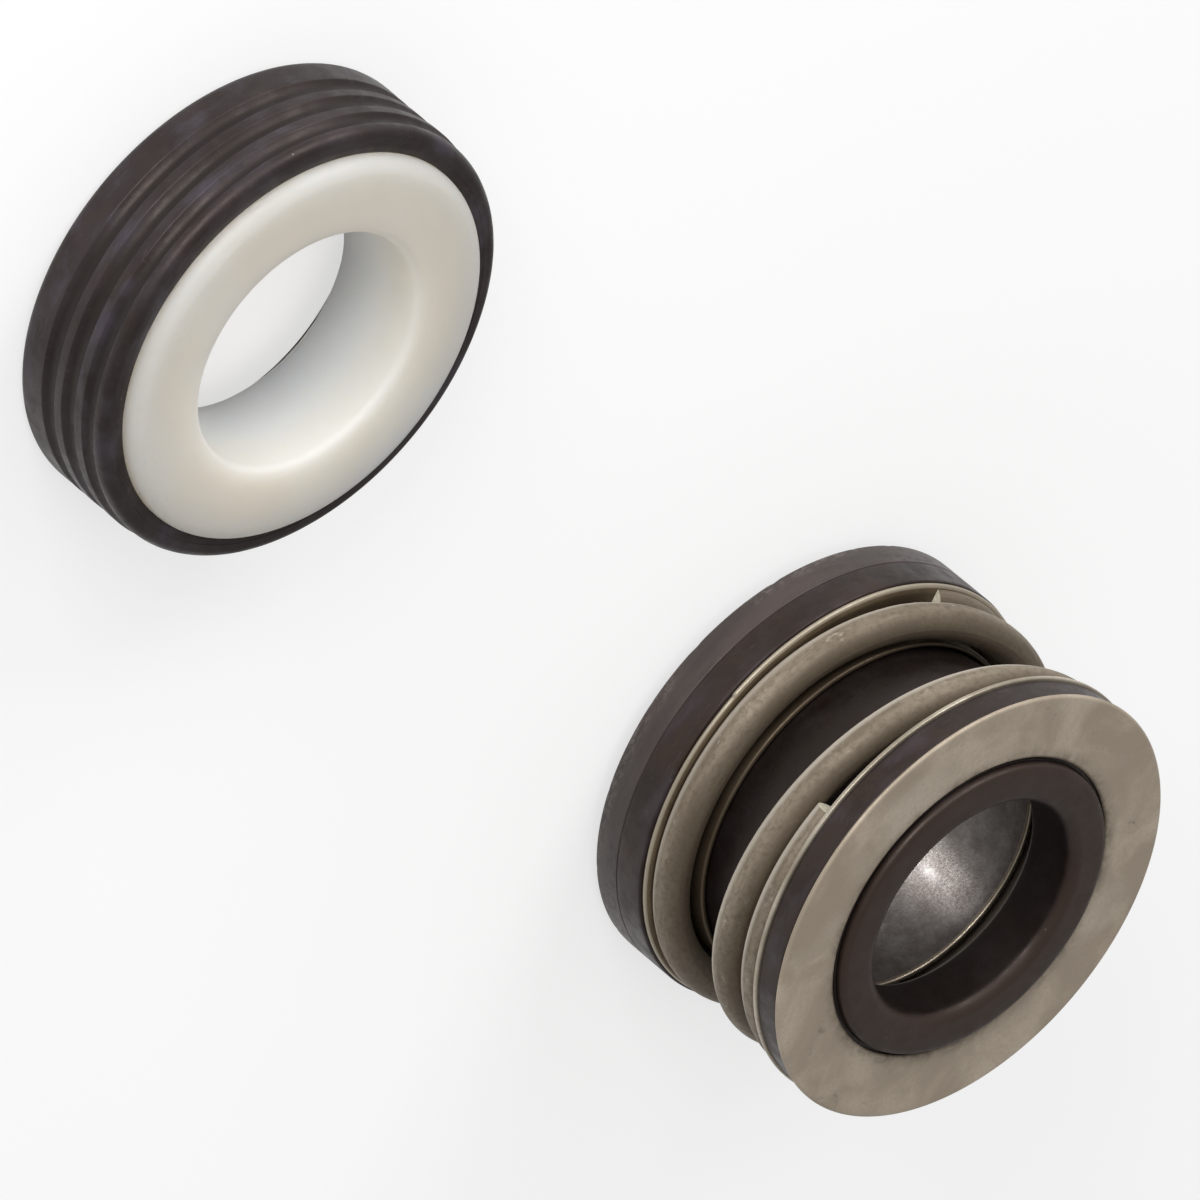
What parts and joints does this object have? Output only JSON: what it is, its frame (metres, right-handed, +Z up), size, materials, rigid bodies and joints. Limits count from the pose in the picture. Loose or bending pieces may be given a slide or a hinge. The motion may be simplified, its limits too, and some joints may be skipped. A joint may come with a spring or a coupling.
{
  "type": "shaft seal",
  "caption": "Pump shaft seal: a spring-loaded rubber bellows head with a carbon running face, and its mating ceramic seat bedded in a ribbed rubber cup beside it.",
  "frame": {"origin": "bottom centre of the box round both halves, on the surface that they stand on", "axes": "+Z up along both halves' shaft axes; +Y from the stationary seat in front to the spring-loaded head behind it; +X to the right"},
  "size_m": [0.0376, 0.1292, 0.0233],
  "materials": {
    "carbon": "satin dark grey carbon, slightly scuffed at the edge",
    "bellows_rubber": "smooth moulded dark grey rubber",
    "sleeve_steel": "dull drawn steel with a bright rolled end",
    "retainer_steel": "pressed steel sheet with a bright rounded rim",
    "spring_steel": "warm stainless wire with ground ends",
    "washer_steel": "thin bright steel sheet",
    "disc_steel": "flat steel sheet, faintly mottled, rounded edges",
    "ceramic": "lapped satin off-white ceramic",
    "cup_rubber": "moulded dark grey rubber, lightly scuffed"
  },
  "bodies": {
    "halves": {"carbon_ring": "carbon", "bellows": "bellows_rubber", "inner_sleeve": "sleeve_steel", "retainer": "retainer_steel", "spring": "spring_steel", "ceramic_ring": "ceramic", "seat_cup": "cup_rubber"},
    "tail": {"spring_washer": "washer_steel", "end_disc": "disc_steel"}
  },
  "joints": [
    {"name": "tail_slide", "type": "slide", "parent": "halves", "child": "tail", "axis": [0, 0, -1], "range_m": [0, 0.003], "stiffness_N_per_m": 12000, "deforming": ["spring", "bellows"]}
  ]
}
